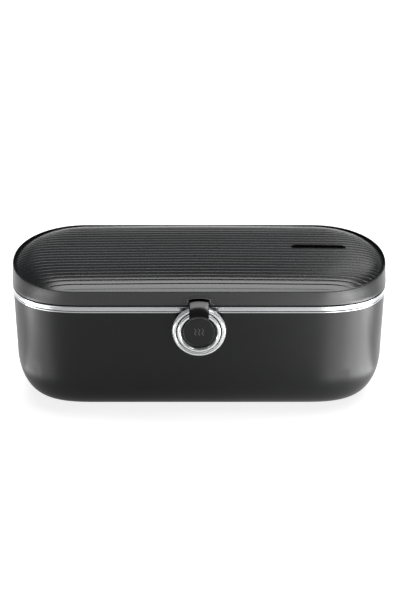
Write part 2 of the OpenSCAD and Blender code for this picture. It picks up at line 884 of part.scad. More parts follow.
rib_count = floor(2 * panel_hd / rib_pitch);
rib_start = -rib_count * rib_pitch / 2;
rib_phases = [0, 0.12, 0.3, 0.5, 0.7, 0.88];
edge_rows = [1, 0.998, 0.992, 0.98];
panel_rows = concat(
    [for (e = edge_rows) if (e * panel_hd > -rib_start) -e * panel_hd],
    [for (k = [0 : rib_count - 1], phase = rib_phases) rib_start + (k + phase) * rib_pitch],
    [-rib_start],
    [for (e = reversed(edge_rows)) if (e * panel_hd > -rib_start) e * panel_hd]
);
panel_cols = 14;

// Height of the rounded ribs above the valleys, as a share of the rib height
function rib_wave(y) = let (phase = (y - rib_start) / rib_pitch)
    abs(y) > -rib_start ? 0 : pow(abs(sin(180 * phase)), 0.7);

// Height of the panel over the tops of the ribs
function dome_height(x, y) = panel_edge_z + dome_h * (1 - pow(panel_rho(x, y), dome_power))
    - crown * pow(abs(x) / panel_hw, crown_power);

function panel_height(x, y) = dome_height(x, y)
    - rib_h * (1 - rib_wave(y)) * min(1, 12 * (1 - panel_rho(x, y)));

// Column positions run closer together towards the ends
function column(c) = let (u = 2 * c / panel_cols - 1) sign(u) * (1 - pow(1 - abs(u), 2.2));

// Domed plate with a rib across each pitch and a flat underside
module ribbed_plate() {
    m = len(panel_rows);
    c1 = panel_cols + 1;
    top = [
        for (y = panel_rows, c = [0 : panel_cols])
            let (x = column(c) * panel_end(y)) [x, y, panel_height(x, y)]
    ];
    loop = concat(
        [for (c = [0 : panel_cols]) c],
        [for (r = [1 : m - 1]) r * c1 + panel_cols],
        [for (c = [panel_cols - 1 : -1 : 0]) (m - 1) * c1 + c],
        [for (r = [m - 2 : -1 : 1]) r * c1]
    );
    base = len(top);
    n = len(loop);
    low = concat([for (i = loop) [top[i][0], top[i][1], panel_z]], [[0, 0, panel_z]]);
    skin = [
        for (r = [0 : m - 2], c = [0 : panel_cols - 1], half = [0, 1])
            let (i = r * c1 + c)
            half == 0 ? [i, i + c1, i + c1 + 1] : [i, i + c1 + 1, i + 1]
    ];
    sides = [
        for (i = [0 : n - 1], half = [0, 1])
            let (k = (i + 1) % n)
            half == 0 ? [base + i, loop[i], loop[k]] : [base + i, loop[k], base + k]
    ];
    underside = [for (i = [0 : n - 1]) [base + n, base + i, base + (i + 1) % n]];
    polyhedron(points = concat(top, low), faces = concat(skin, sides, underside), convexity = 6);
}

module lid_screw_places() {
    for (sx = [-1, 1], sy = [-1, 1]) 
        translate([sx * lid_side_screw_x, sy * lid_side_screw_y, 0]) children();
    for (sx = [-1, 1]) translate([sx * lid_screw_x, 0, 0]) children();
}

module top_panel() {
    color("#2b2c2f") difference() {
        union() {
            difference() {
                ribbed_plate();
                translate([0, 0, panel_z - 1]) linear_extrude(1 + panel_pocket_z - panel_z)
                    polygon(lid_outline(panel_pocket_in, rim_z));
            }
            lid_screw_places() translate([0, 0, lid_plate_top + seat / 2])
                cylinder(r = lid_boss_r, h = panel_pocket_z - lid_plate_top + 0.5);
        }
        lid_screw_places() translate([0, 0, lid_plate_z])
            cylinder(r = small_shank_r + run, h = panel_pocket_z - lid_plate_z - 0.5);
        translate([vent_x, vent_y, panel_z]) stadium(vent_l, vent_w, dome_h + 10);
        clasp_recess(fit);
    }
}

module vent_insert() {
    low = panel_pocket_z - seat - vent_flange_t;
    top = dome_height(vent_x + vent_l / 2, vent_y + vent_w / 2) - rib_h - vent_sink;
    floor_z = top - vent_recess;
    color("#060607") translate([vent_x, vent_y, 0]) difference() {
        union() {
            translate([0, 0, low]) stadium(vent_l + 2 * vent_flange_w,
                vent_w + 2 * vent_flange_w, vent_flange_t);
            translate([0, 0, low]) stadium(vent_l - 2 * seat, vent_w - 2 * seat, top - low);
        }
        translate([0, 0, floor_z]) stadium(vent_l - 2 * vent_wall, vent_w - 2 * vent_wall, vent_recess + 1);
        for (i = [-1, 0, 1])
            translate([i * vent_l / 4, 0, low - 1]) cylinder(r = vent_hole_r, h = top);
    }
}

module lid_liner() {
    color("#d8d9d6") difference() {
        union() {
            translate([0, 0, lid_plate_z]) linear_extrude(lid_plate_t)
                polygon(lid_outline(lid_inner_in, lid_plate_top));
            body_band(gasket_in - skirt_wall, gasket_in + gasket_w + skirt_wall, skirt_z,
                lid_plate_z - skirt_z + seat);
        }
        body_band(gasket_in - run, gasket_in + gasket_w + run, skirt_z - 1, 1 + gasket_groove);
        lid_screw_places() translate([0, 0, lid_plate_z - 1])
            cylinder(r = small_shank_r + fit, h = lid_plate_t + 2);
        translate([vent_x, vent_y, lid_plate_z - 1]) cylinder(r = steam_r + run, h = lid_plate_t + 2);
        clasp_recess(fit);
    }
}

module lid_gasket() {
    color("#bfc2c2") body_band(gasket_in, gasket_in + gasket_w, gasket_z,
        skirt_z + gasket_groove - seat / 2 - gasket_z);
}

// Silicone grommet with a flange on each side of the lid liner
module steam_valve() {
    color("#b9bdbd") translate([vent_x, vent_y, lid_plate_z - steam_flange_t]) difference() {
        union() {
            cylinder(r = steam_r + 2, h = steam_flange_t - seat / 2);
            cylinder(r = steam_r, h = 2 * steam_flange_t + lid_plate_t);
            translate([0, 0, steam_flange_t + lid_plate_t + seat / 2])
                cylinder(r = steam_r + 1, h = steam_flange_t - seat);
        }
        for (i = [0 : 3]) rotate([0, 0, 90 * i]) translate([steam_r / 2, 0, -1])
            cylinder(r = 0.8, h = 2 * steam_flange_t + lid_plate_t + 2);
    }
}

module lid_screws() {
    color("silver") lid_screw_places() translate([0, 0, lid_plate_z - seat / 2])
        small_screw(panel_pocket_z - lid_plate_z - lid_screw_tip);
}

// ---------------------------------------------------------------- clasp and button

module clasp_housing() {
    color("#1b1c1e") on_front() difference() {
        translate([0, 0, -clasp_block_depth])
            linear_extrude(clasp_block_depth + clasp_block_face) intersection() {
                clasp_arch(clasp_block_w, clasp_block_r, 0);
                translate([-clasp_block_w, lid_z - latch_z + seat]) square(2 * clasp_block_w);
            }
        translate([0, 0, -pocket_depth]) linear_extrude(pocket_depth + 1) clasp_arch(pocket_w, pocket_r, 0);
        translate([0, clasp_pin_up, clasp_pin_out]) cylinder_x(clasp_pin_r + run, clasp_pin_l + fit);
    }
}

module clasp_pin() {
    color("silver") on_front() translate([0, clasp_pin_up, clasp_pin_out])
        cylinder_x(clasp_pin_r, clasp_pin_l);
}

// Tab that follows the top of the ring: it leaves the lid over the ring and laps down its face
module clasp_tab() {
    tip = 0.4;
    section = concat(
        [
            [tab_under_r, clasp_pin_out], [tab_under_r, tab_in], [tab_tip_r + tip, tab_in],
            [tab_tip_r, tab_in + tip], [tab_tip_r, tab_out - tip], [tab_tip_r + tip, tab_out]
        ],
        [
            for (a = [90 : -15 : 0])
                [tab_top_r - tab_bend_r * (1 - cos(a)), tab_out - tab_bend_r * (1 - sin(a))]
        ],
        [[tab_top_r, clasp_pin_out]]
    );
    color("#151517") on_front() difference() {
        union() {
            intersection() {
                rotate_extrude() polygon(section);
                translate([-tab_w / 2, 0, clasp_pin_out - 1]) cube([tab_w, tab_top_r + 1, tab_out + 4]);
            }
            translate([0, clasp_pin_up, clasp_pin_out]) cylinder_x(clasp_hub_r, tab_w);
        }
        translate([0, clasp_pin_up, clasp_pin_out]) cylinder_x(clasp_pin_r + run, tab_w + 2);
    }
}

module push_button() {
    color("#161617") on_front() {
        translate([0, 0, button_back]) cylinder(r = button_r, h = button_t - button_edge);
        translate([0, 0, button_out - button_edge])
            cylinder(r1 = button_r, r2 = button_r - button_edge, h = button_edge);
        translate([0, 0, stem_end]) cylinder(r = stem_r, h = button_back - stem_end);
    }
}

module switch_plunger() {
    color("#e8e4da") on_front() translate([0, 0, stem_end - plunger_l])
        cylinder(r = plunger_r, h = plunger_l);
}

body_shell();
trim_band();
base_cover();
base_screws();
rubber_feet();
heated_liner();
heating_plate();
ptc_heaters();
heater_clamp();
clamp_screws();
thermostat();
thermal_fuse();
control_board();
board_screws();
relay();
capacitors();
terminal_block();
power_inlet();
inlet_pins();
button_housing();
housing_nut();
bezel_ring();
power_switch();
switch_cap();
hinge_brackets();
hinge_pins();
bracket_screws();
food_container();
lid_frame();
top_panel();
vent_insert();
lid_liner();
lid_gasket();
steam_valve();
lid_screws();
hinge_arms();
arm_screws();
clasp_housing();
clasp_pin();
clasp_tab();
push_button();
switch_plunger();
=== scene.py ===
"""Looks of the electric lunch box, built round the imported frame.

Sizes in the shapes are millimetres. The lamps, the camera and the stage's distances are in metres.
"""
import json
import math

import bmesh
import bpy
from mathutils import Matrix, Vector

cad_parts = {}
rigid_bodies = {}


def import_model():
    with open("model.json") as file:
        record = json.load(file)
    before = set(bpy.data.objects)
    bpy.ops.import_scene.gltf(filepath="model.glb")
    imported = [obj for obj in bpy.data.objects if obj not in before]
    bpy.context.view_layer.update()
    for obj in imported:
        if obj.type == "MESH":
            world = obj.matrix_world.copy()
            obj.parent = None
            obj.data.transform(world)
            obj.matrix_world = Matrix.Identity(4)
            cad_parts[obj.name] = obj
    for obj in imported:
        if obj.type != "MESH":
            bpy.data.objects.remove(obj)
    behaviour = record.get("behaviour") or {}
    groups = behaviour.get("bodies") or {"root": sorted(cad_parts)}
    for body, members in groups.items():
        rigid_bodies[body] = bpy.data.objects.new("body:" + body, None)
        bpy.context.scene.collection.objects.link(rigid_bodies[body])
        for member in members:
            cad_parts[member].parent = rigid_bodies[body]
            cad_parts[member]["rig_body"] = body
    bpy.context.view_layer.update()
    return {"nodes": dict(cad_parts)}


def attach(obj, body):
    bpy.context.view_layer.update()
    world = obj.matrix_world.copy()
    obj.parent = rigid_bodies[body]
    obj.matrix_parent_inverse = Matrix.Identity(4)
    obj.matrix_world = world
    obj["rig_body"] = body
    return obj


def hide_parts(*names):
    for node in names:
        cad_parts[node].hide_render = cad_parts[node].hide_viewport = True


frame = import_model()
MM = 0.001

# ---------------------------------------------------------------- sizes shared with the solids
BODY_W, BODY_D = 236.0, 104.0
END_LEN, END_SQUARE = 53.0, 2.9
RIM_LEN, RIM_SQUARE = 43.5, 2.1
SHELL_Z, SHELL_TOP, SHELL_T = 1.3, 72.4, 2.4
SHELL_IN, SHELL_LEAN = 0.4, 0.015
BOTTOM_RX, BOTTOM_RZ, INNER_FLOOR = 16.0, 28.0, 5.7
LID_Z, RIM_Z = 76.7, 86.1
RIM_W, PANEL_IN, PANEL_Z, PANEL_EDGE = 0.6, 1.3, 82.5, 85.6
DOME_H, DOME_POWER, CROWN, CROWN_POWER = 5.5, 5.3, 1.1, 1.3
RIB_PITCH, RIB_H, GROOVE, GROOVE_SHARE = 4.05, 0.45, 0.38, 0.72
LATCH_Z, FRONT_Y, BUTTON_BORE = 60.9, -52.0, 4.7
INLET_X, INLET_Z, PIN_OFFSET, NOSE_R, INLET_WALL = 50.0, 42.0, 4.3, 3.6, 1.5
VENT_X, VENT_Y, VENT_L, VENT_W = 76.0, 6.0, 35.0, 5.2


# ---------------------------------------------------------------- outlines and meshes
def outline(w, d, a, n, steps):
    """Both halves of a plan outline with superellipse ends of length a and squareness n."""
    points = []
    for side in (1, -1):
        for i in range(steps + 1):
            u = math.radians(-90 + 180 * i / steps)
            x = w / 2 - a + a * max(0.0, math.cos(u)) ** (2 / n)
            y = d / 2 * math.copysign(abs(math.sin(u)) ** (2 / n), u)
            points.append((side * x, side * y))
    return points


def body_ring(o, z, steps=80):
    """The body's plan outline, moved in by o."""
    return [(x, y, z) for x, y in outline(BODY_W - 2 * o, BODY_D - 2 * o, END_LEN - o, END_SQUARE, steps)]


def lid_ring(o, z, steps=80):
    """The lid's plan outline, which turns from the body's at its foot to the rim's at its top."""
    t = min(1.0, max(0.0, (z - LID_Z) / (RIM_Z - LID_Z)))
    low = outline(BODY_W - 2 * o, BODY_D - 2 * o, END_LEN - o, END_SQUARE, steps)
    high = outline(BODY_W - 2 * o, BODY_D - 2 * o, RIM_LEN - o, RIM_SQUARE, steps)
    return [(p[0] * (1 - t) + q[0] * t, p[1] * (1 - t) + q[1] * t, z) for p, q in zip(low, high)]


def arc(cx, cy, rx, ry, start, end, steps):
    """Points of an ellipse between two angles in degrees, both ends included."""
    return [
        (cx + rx * math.cos(math.radians(start + (end - start) * i / steps)),
         cy + ry * math.sin(math.radians(start + (end - start) * i / steps)))
        for i in range(steps + 1)
    ]


def turns_of(*degrees):
    """Sine and cosine of each angle."""
    return [(math.sin(math.radians(t)), math.cos(math.radians(t))) for t in degrees]


def sharpen(mesh, angle=32):
    """Smooth shading, with edges steeper than an angle kept sharp."""
    bm = bmesh.new()
    bm.from_mesh(mesh)
    bmesh.ops.remove_doubles(bm, verts=bm.verts, dist=1e-7)
    bmesh.ops.recalc_face_normals(bm, faces=bm.faces)
    for f in bm.faces:
        f.smooth = True
    for e in bm.edges:
        e.smooth = e.calc_face_angle(0) < math.radians(angle)
    bm.to_mesh(mesh)
    bm.free()


def make(name, points, faces, angle=32):
    """Piece from points in millimetres and faces."""
    mesh = bpy.data.meshes.new(name)
    mesh.from_pydata([tuple(c * MM for c in p) for p in points], [], faces)
    sharpen(mesh, angle)
    obj = bpy.data.objects.new(name, mesh)
    bpy.context.scene.collection.objects.link(obj)
    return obj


def loft(name, rings, closed=True, angle=32):
    """Skin over rings with as many points each; when closed, the last ring joins the first."""
    n, m = len(rings[0]), len(rings)
    points = [p for ring in rings for p in ring]
    faces = [
        (j * n + i, j * n + (i + 1) % n, (j + 1) % m * n + (i + 1) % n, (j + 1) % m * n + i)
        for j in range(m if closed else m - 1) for i in range(n)
    ]
    return make(name, points, faces, angle)


def on_front(x, up, out):
    """A point of the latch, measured from its centre on the front plane."""
    return (x, FRONT_Y - out, LATCH_Z + up)


def lathe(name, profile, segments=144, angle=32):
    """Solid of revolution about the latch axis from (radius, out) points."""
    rings = [
        [on_front(r * math.cos(a), r * math.sin(a), out) for r, out in profile]
        for a in (2 * math.pi * k / segments for k in range(segments))
    ]
    return loft(name, rings, True, angle)


def apply(obj):
    """Bakes the modifiers into the mesh."""
    bpy.context.view_layer.update()
    done = bpy.data.meshes.new_from_object(obj.evaluated_get(bpy.context.evaluated_depsgraph_get()))
    obj.modifiers.clear()
    obj.data = done
    return obj


def cut(obj, cutter, angle=32):
    """Takes a cutter out of a piece and deletes the cutter."""
    m = obj.modifiers.new("cut", "BOOLEAN")
    m.operation, m.solver, m.object = "DIFFERENCE", "EXACT", cutter
    apply(obj)
    bpy.data.objects.remove(cutter)
    sharpen(obj.data, angle)
    return obj


def bevel(obj, width, segments=3, angle=32):
    """Rounds the edges that are steeper than an angle."""
    m = obj.modifiers.new("bevel", "BEVEL")
    m.width, m.segments = width * MM, segments
    m.limit_method, m.angle_limit = "ANGLE", math.radians(angle)
    m.use_clamp_overlap = True
    apply(obj)
    sharpen(obj.data, 40)
    return obj


def dress(node, name, width=0.25, segments=2):
    """A copy of a rigid solid with its edges broken, which stands for it."""
    obj = bpy.data.objects.new(name, frame["nodes"][node].data.copy())
    bpy.context.scene.collection.objects.link(obj)
    obj.data.materials.clear()
    bm = bmesh.new()
    bm.from_mesh(obj.data)
    bmesh.ops.remove_doubles(bm, verts=bm.verts, dist=2e-6)
    bmesh.ops.dissolve_limit(bm, angle_limit=math.radians(1.5), verts=bm.verts, edges=bm.edges)
    bm.to_mesh(obj.data)
    bm.free()
    bevel(obj, width, segments, 35)
    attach(obj, frame["nodes"][node]["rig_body"])
    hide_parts(node)
    return obj


def place(obj, body, *nodes):
    """Lets a piece ride a body and stand for the solids that it replaces."""
    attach(obj, body)
    if nodes:
        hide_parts(*nodes)
    return obj


def between(name, near, far):
    """Closed solid between two outlines with as many points each."""
    n = len(near)
    sides = [(i, (i + 1) % n, n + (i + 1) % n, n + i) for i in range(n)]
    return make(name, near + far, sides + [tuple(range(n)), tuple(range(2 * n - 1, n - 1, -1))])


def prism(name, points, y0, y1):
    """Closed prism between two depths, from outline points in X and Z."""
    return between(name, [(x, y0, z) for x, z in points], [(x, y1, z) for x, z in points])


def upright(name, points, z0, z1):
    """Closed prism between two heights, from outline points in X and Y."""
    return between(name, [(x, y, z0) for x, y in points], [(x, y, z1) for x, y in points])


def capped(rings):
    """Points and faces of a skin over rings, with a flat cap at each end."""
    k, count = len(rings[0]), len(rings)
    quads = [
        (j * k + i, j * k + (i + 1) % k, (j + 1) * k + (i + 1) % k, (j + 1) * k + i)
        for j in range(count - 1) for i in range(k)
    ]
    caps = [tuple(range(k - 1, -1, -1)), tuple(range((count - 1) * k, count * k))]
    return [p for ring in rings for p in ring], quads + caps


def stadium(cx, cy, length, width, steps=14):
    """Slot outline with round ends."""
    r, h = width / 2, (length - width) / 2
    return arc(cx + h, cy, r, r, -90, 90, steps) + arc(cx - h, cy, r, r, 90, 270, steps)


# ---------------------------------------------------------------- materials
def shader(name, color, rough, **sockets):
    """Material with its node tree and its principled shader."""
    mat = bpy.data.materials.new(name)
    mat.use_nodes = True
    tree = mat.node_tree
    bsdf = tree.nodes["Principled BSDF"]
    bsdf.inputs["Base Color"].default_value = (*color, 1)
    bsdf.inputs["Roughness"].default_value = rough
    for key, value in sockets.items():
        bsdf.inputs[key.replace("_", " ")].default_value = value
    mat.diffuse_color = (*color, 1)
    return mat, tree, bsdf


# the stretch of a noise's values that is spread over the whole of its effect
NOISE_LOW, NOISE_HIGH = 0.3, 0.7


def noise(tree, scale, detail=3.0, stretch=(1, 1, 1)):
    """Noise fixed to the piece itself, as a factor."""
    coord = tree.nodes.new("ShaderNodeTexCoord")
    mapping = tree.nodes.new("ShaderNodeMapping")
    mapping.inputs["Scale"].default_value = stretch
    tex = tree.nodes.new("ShaderNodeTexNoise")
    tex.inputs["Scale"].default_value = scale
    tex.inputs["Detail"].default_value = detail
    tree.links.new(coord.outputs["Object"], mapping.inputs["Vector"])
    tree.links.new(mapping.outputs["Vector"], tex.inputs["Vector"])
    return tex.outputs["Fac"]


def spread(tree, source, low, high):
    """A noise spread between low and high."""
    node = tree.nodes.new("ShaderNodeMapRange")
    node.inputs["From Min"].default_value, node.inputs["From Max"].default_value = NOISE_LOW, NOISE_HIGH
    node.inputs["To Min"].default_value, node.inputs["To Max"].default_value = low, high
    tree.links.new(source, node.inputs["Value"])
    return node.outputs["Result"]


def tint(tree, bsdf, source, low, high):
    """Base colour that drifts between two colours with a noise."""
    ramp = tree.nodes.new("ShaderNodeValToRGB")
    start, end = ramp.color_ramp.elements
    start.position, end.position = NOISE_LOW, NOISE_HIGH
    start.color, end.color = (*low, 1), (*high, 1)
    tree.links.new(source, ramp.inputs["Fac"])
    tree.links.new(ramp.outputs["Color"], bsdf.inputs["Base Color"])


def bump(tree, bsdf, source, strength, distance):
    """Surface relief, its distance in metres."""
    node = tree.nodes.new("ShaderNodeBump")
    node.inputs["Strength"].default_value, node.inputs["Distance"].default_value = strength, distance
    tree.links.new(source, node.inputs["Height"])
    tree.links.new(node.outputs["Normal"], bsdf.inputs["Normal"])


def plastic(name, color, rough, vary=0.15, grain=2600.0, grain_strength=0.12, **sockets):
    """Moulded plastic: a fine spark-eroded grain, slow drift of gloss and of tone."""
    mat, tree, bsdf = shader(name, color, rough, **sockets)
    drift = noise(tree, scale=14.0, detail=2.0)
    tint(tree, bsdf, drift, [c * (1 - vary) for c in color], [c * (1 + vary) for c in color])
    gloss = spread(tree, noise(tree, scale=60.0, detail=3.0), rough * 0.93, rough * 1.07)
    tree.links.new(gloss, bsdf.inputs["Roughness"])
    bump(tree, bsdf, noise(tree, grain, detail=2.0), grain_strength, distance=0.00004)
    return mat


def metal(name, color, rough, stretch=(1, 1, 1), grain=700.0, strength=0.05, metallic=1.0):
    """Plated or drawn metal: drawing marks in its gloss and its surface."""
    mat, tree, bsdf = shader(name, color, rough, Metallic=metallic)
    marks = noise(tree, grain, detail=4.0, stretch=stretch)
    drift = noise(tree, scale=30.0, detail=2.0)
    tint(tree, bsdf, drift, [c * 0.96 for c in color], [min(1, c * 1.03) for c in color])
    tree.links.new(spread(tree, marks, rough * 0.8, rough * 1.25), bsdf.inputs["Roughness"])
    bump(tree, bsdf, marks, strength, distance=0.00003)
    return mat


def finish_of(obj, mat):
    """Gives a piece its material."""
    obj.data.materials.clear()
    obj.data.materials.append(mat)
    return obj


shell_black = plastic("shell_black", (0.0050, 0.0052, 0.0053), 0.36, Specular_IOR_Level=0.27)
lid_black = plastic("lid_black", (0.0075, 0.0078, 0.0079), 0.36, Specular_IOR_Level=0.65)
panel_black = plastic(
    "panel_black", (0.0085, 0.0088, 0.0095), 0.22, grain_strength=0.01, Specular_IOR_Level=0.55
)
cover_black = plastic("cover_black", (0.015, 0.015, 0.0165), 0.55, grain_strength=0.3)
hinge_black = plastic("hinge_black", (0.014, 0.0145, 0.0155), 0.48)
gloss_black = plastic(
    "gloss_black", (0.0035, 0.0035, 0.004), 0.07, grain_strength=0.02, Specular_IOR_Level=0.5
)
cup_black = plastic("cup_black", (0.003, 0.003, 0.0034), 0.16, grain_strength=0.02)
tab_black = plastic("tab_black", (0.006, 0.006, 0.0066), 0.2, grain_strength=0.03)
button_black = plastic(
    "button_black", (0.009, 0.009, 0.0095), 0.42, grain_strength=0.1, Specular_IOR_Level=0.3
)
# light grey for the printed heat lines on the button, and also a painted highlight on the ring round the
# button's face and on the bead round the clasp's pocket
print_and_highlight_grey = plastic("print_and_highlight_grey", (0.13, 0.133, 0.135), 0.4, grain_strength=0.02)
rubber = plastic("foot_rubber", (0.014, 0.014, 0.014), 0.75, grain=1500.0, grain_strength=0.5)
trim_metal = metal("bright_trim", (0.46, 0.465, 0.475), 0.17, (1, 1, 30), 500.0, 0.006)
ring_metal = metal("ring_chrome", (0.88, 0.885, 0.89), 0.13, (1, 1, 1), 900.0, 0.01, 0.62)
zinc = metal("zinc_steel", (0.60, 0.61, 0.63), 0.28, (1, 1, 1), 900.0, 0.06)
liner_metal = metal("liner_aluminium", (0.66, 0.67, 0.68), 0.33, (1, 1, 12), 900.0, 0.1)
pan_metal = metal("container_steel", (0.62, 0.63, 0.64), 0.24, (1, 14, 14), 900.0, 0.08)
silicone = plastic("silicone", (0.50, 0.52, 0.52), 0.5, grain_strength=0.2, Subsurface_Weight=0.1)
liner_white = plastic("liner_white", (0.60, 0.60, 0.575), 0.4, vary=0.03, grain_strength=0.1)
# solids that are shown as packed, each with a material of its own
SIMPLE = {
    "heating_plate": metal("cast_aluminium", (0.56, 0.57, 0.58), 0.45, (1, 1, 1), 400.0, 0.4),
    "ptc_heaters": plastic("ceramic_brown", (0.36, 0.24, 0.15), 0.35),
    "heater_clamp": metal("spring_steel", (0.48, 0.49, 0.5), 0.3, (20, 1, 1)),
    "thermostat": plastic("bakelite", (0.05, 0.04, 0.035), 0.4),
    "thermal_fuse": plastic("ceramic_white", (0.7, 0.68, 0.6), 0.3),
    "control_board": plastic("board_green", (0.02, 0.13, 0.06), 0.35),
    "relay": plastic("relay_blue", (0.03, 0.1, 0.28), 0.35),
    "capacitors": plastic("capacitor_black", (0.03, 0.03, 0.04), 0.3),
    "terminal_block": plastic("terminal_green", (0.04, 0.25, 0.12), 0.4),
    "inlet_pins": metal("contact_brass", (0.78, 0.6, 0.3), 0.2, (1, 12, 1)),
    "power_switch": plastic("switch_grey", (0.2, 0.21, 0.22), 0.4),
    "switch_cap": plastic("nylon_white", (0.68, 0.67, 0.62), 0.42, Subsurface_Weight=0.1),
}
for node, mat in SIMPLE.items():
    finish_of(frame["nodes"][node], mat)
finish_of(frame["nodes"]["switch_plunger"], SIMPLE["switch_cap"])
finish_of(frame["nodes"]["housing_nut"], cover_black)
for node in ("clamp_screws", "board_screws", "hinge_pins"):
    finish_of(frame["nodes"][node], zinc)
finish_of(frame["nodes"]["clasp_pin"], hinge_black)
finish_of(frame["nodes"]["lid_liner"], liner_white)
finish_of(frame["nodes"]["lid_gasket"], silicone)
finish_of(frame["nodes"]["steam_valve"], silicone)


# ---------------------------------------------------------------- body shell
def wall_in(z):
    """How far the leaning wall stands in from the plan outline at a height."""
    return SHELL_IN + SHELL_LEAN * (SHELL_TOP - z)


def edge_profile(t, floor_z, steps):
    """The rounded bottom edge as (in, height) points, on the outside or a thickness t further in."""
    top = SHELL_Z + BOTTOM_RZ
    start, width, height = wall_in(top) + t, BOTTOM_RX - t, top - floor_z
    return [
        (start + width * (1 - sin), floor_z + height * (1 - cos))
        for sin, cos in turns_of(*(90 * i / steps for i in range(steps + 1)))
    ]


top_in = wall_in(SHELL_TOP)
TOP_R = 0.45
profile = (
    [(28, 3.3), (19.8, 3.3), (19.8, 1.5), (19.6, 1.3)]
    + edge_profile(0, SHELL_Z, 26)
    + [(wall_in(z), z) for z in (40, 52, 64, 71.2)]
    + [(top_in + TOP_R - x, SHELL_TOP - TOP_R + y) for x, y in arc(0, 0, TOP_R, TOP_R, 0, 90, 4)]
    + [(top_in + SHELL_T, SHELL_TOP)]
    + edge_profile(SHELL_T, INNER_FLOOR, 10)[::-1]
    + [(28, INNER_FLOOR)]
)
shell = loft("shell_skin", [body_ring(o, z) for o, z in profile])
socket = stadium(INLET_X, INLET_Z, 2 * (PIN_OFFSET + NOSE_R + INLET_WALL), 2 * (NOSE_R + INLET_WALL))
cut(shell, prism("cut_inlet", socket, 40, 60))
hole = [(x, LATCH_Z + y) for x, y in arc(0, 0, BUTTON_BORE, BUTTON_BORE, 0, 360, 47)[:-1]]
cut(shell, prism("cut_button", hole, -60, -40))
finish_of(place(shell, "base", "body_shell"), shell_black)

# ---------------------------------------------------------------- trim band
profile = (
    [(1.2, 72.45), (0.38, 72.45), (0.38, 71.72), (0.30, 71.64), (0.18, 71.68), (0.07, 71.82)]
    + [(0.0, 72.05), (0.0, 72.35), (0.06, 72.6), (0.18, 72.78), (0.27, 73.0), (0.30, 73.3)]
    + [(0.30, 74.8), (0.26, 75.05), (0.14, 75.25), (0.03, 75.45)]
    + [(0.5 - x, 75.6 + y) for x, y in arc(0, 0, 0.5, 0.5, 0, 90, 5)]
    + [(2.4, 76.1), (2.4, 74.0), (9.0, 74.0), (9.0, 72.9)]
    + [(4.4, 72.9), (4.4, 69.5), (3.0, 69.5), (3.0, 72.45)]
)
trim = loft("trim_ring", [body_ring(o, z) for o, z in profile], angle=50)
finish_of(place(trim, "base", "trim_band"), trim_metal)

# ---------------------------------------------------------------- lid frame
profile = (
    [(0.35 - 0.35 * cos, LID_Z + 0.35 - 0.35 * sin) for sin, cos in turns_of(90, 60, 30, 0)]
    + [(0, z) for z in (78.5, 80.5, 82.5)]
    + [(0.4 - 0.4 * cos, RIM_Z - 0.5 + 0.5 * sin) for sin, cos in turns_of(*range(0, 91, 15))]
    + [(RIM_W - 0.1 + 0.1 * sin, RIM_Z - 0.1 + 0.1 * cos) for sin, cos in turns_of(*range(0, 91, 30))]
    + [(RIM_W, PANEL_Z), (5.6, PANEL_Z), (5.6, 81.0), (2.2, 81.0), (2.2, LID_Z)]
)
lid = loft("lid_skin", [lid_ring(o, z) for o, z in profile], angle=40)


def arch(half, radius, low):
    """Outline on the front plane of an arch about the latch axis."""
    side = math.degrees(math.acos(half / radius))
    crown = [(x, LATCH_Z + y) for x, y in arc(0, 0, radius, radius, side, 180 - side, 24)]
    return [(half, low)] + crown + [(-half, low)]


cut(lid, prism("cut_clasp", arch(10.1, 22.8, 70), -60, -48.3), 40)
finish_of(place(lid, "lid", "lid_frame"), lid_black)

# ---------------------------------------------------------------- ribbed top panel
HALF_W, HALF_D, HALF_A = BODY_W / 2 - PANEL_IN, BODY_D / 2 - PANEL_IN, RIM_LEN - PANEL_IN
# as many ribs as the solid panel has, so that both have their valleys at the same places
RIBS = 24
RIB_START = -RIBS * RIB_PITCH / 2
CREST_POWER = 0.6
# how steeply the ribs fade in from the outline, along the sides and at the ends
FADE_SIDES, FADE_ENDS = 5, 20


def panel_rho(x, y):
    """0 along the spine of the panel and 1 on its outline."""
    along = max(0.0, abs(x) - HALF_W + HALF_A) / HALF_A
    across = abs(y) / HALF_D
    return min(1.0, (along ** RIM_SQUARE + across ** RIM_SQUARE) ** (1 / RIM_SQUARE))


def dome(x, y):
    """Height of the panel over the tops of its ribs."""
    fall = CROWN * (abs(x) / HALF_W) ** CROWN_POWER
    return PANEL_EDGE + DOME_H * (1 - panel_rho(x, y) ** DOME_POWER) - fall


def panel_height(x, y):
    """The dome with a sharp groove in each valley between rounded crests, fading out at the rim."""
    phase = (y - RIB_START) / RIB_PITCH
    groove = max(0.0, 1 - abs(phase - round(phase)) * RIB_PITCH / GROOVE)
    crest = 1 - abs(math.sin(math.pi * phase)) ** CREST_POWER
    wave = 1 - GROOVE_SHARE * groove - (1 - GROOVE_SHARE) * crest if abs(y) < -RIB_START else 0.0
    fade = FADE_SIDES + (FADE_ENDS - FADE_SIDES) * (1 - (y / HALF_D) ** 2)
    return dome(x, y) - RIB_H * (1 - wave) * min(1.0, fade * (1 - panel_rho(x, y)))


# places of the rows across one rib, and of the rows between the last rib and the rim
phases = (0, 0.045, 0.09, 0.13, 0.2, 0.35, 0.5, 0.65, 0.8, 0.87, 0.91, 0.955)
edge_rows = (0.99, 0.995, 0.9985, 1)
rows = [side * HALF_D * share for side in (-1, 1) for share in edge_rows]
rows += [RIB_START + (k + p) * RIB_PITCH for k in range(RIBS) for p in phases] + [-RIB_START]
rows = sorted(set(round(r, 5) for r in rows))
# columns along a row, which crowd toward its ends
COLS, COL_POWER = 84, 1.7
grid = []
for y in rows:
    end = HALF_W - HALF_A + HALF_A * max(0.0, 1 - (abs(y) / HALF_D) ** RIM_SQUARE) ** (1 / RIM_SQUARE)
    for c in range(COLS + 1):
        u = 2 * c / COLS - 1
        x = end * math.copysign(1 - (1 - abs(u)) ** COL_POWER, u)
        grid.append((x, y, panel_height(x, y)))
row, last = COLS + 1, len(rows) - 1
